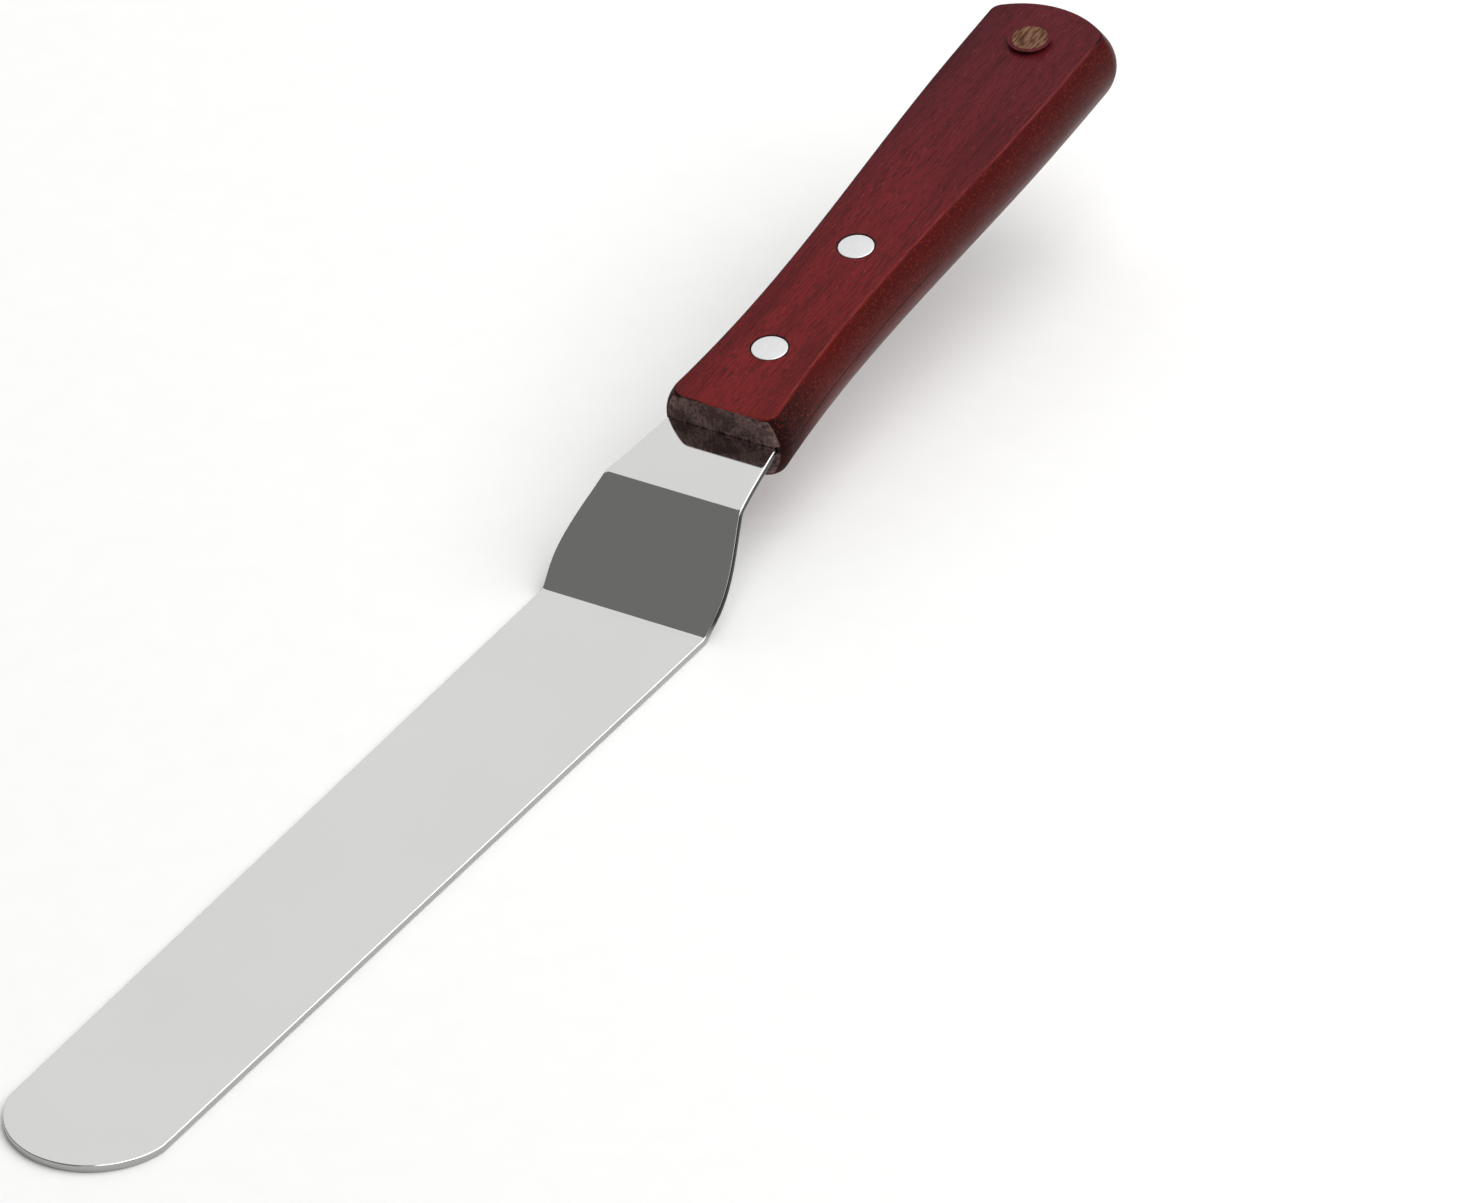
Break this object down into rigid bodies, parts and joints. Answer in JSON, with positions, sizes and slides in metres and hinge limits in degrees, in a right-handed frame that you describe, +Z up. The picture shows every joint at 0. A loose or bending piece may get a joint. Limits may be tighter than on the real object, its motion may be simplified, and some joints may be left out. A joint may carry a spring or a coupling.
{
  "type": "offset spatula",
  "caption": "Offset icing spatula: a long round-tipped steel blade cranked up through a riser and neck to a riveted hardwood handle with a hang hole.",
  "frame": {"origin": "on the underside of the blade, on the centre line, halfway along the blade's flat", "axes": "+X along the flat to the blade's tip, +Z up out of the blade's upper face, +Y to the left seen from the handle"},
  "size_m": [0.3986, 0.0398, 0.0492],
  "materials": {
    "polished_steel": "bright polished stainless steel with fine lengthwise polishing lines",
    "stained_hardwood": "red-brown stained hardwood under thin satin lacquer, bare and rough at the front end face and inside the hang hole",
    "rivet_aluminium": "sanded flush, satin"
  },
  "bodies": {
    "root": {"blade": "polished_steel", "handle": "stained_hardwood", "front_rivet_barrel": "rivet_aluminium", "front_rivet_pin": "rivet_aluminium", "rear_rivet_barrel": "rivet_aluminium", "rear_rivet_pin": "rivet_aluminium"}
  },
  "joints": []
}
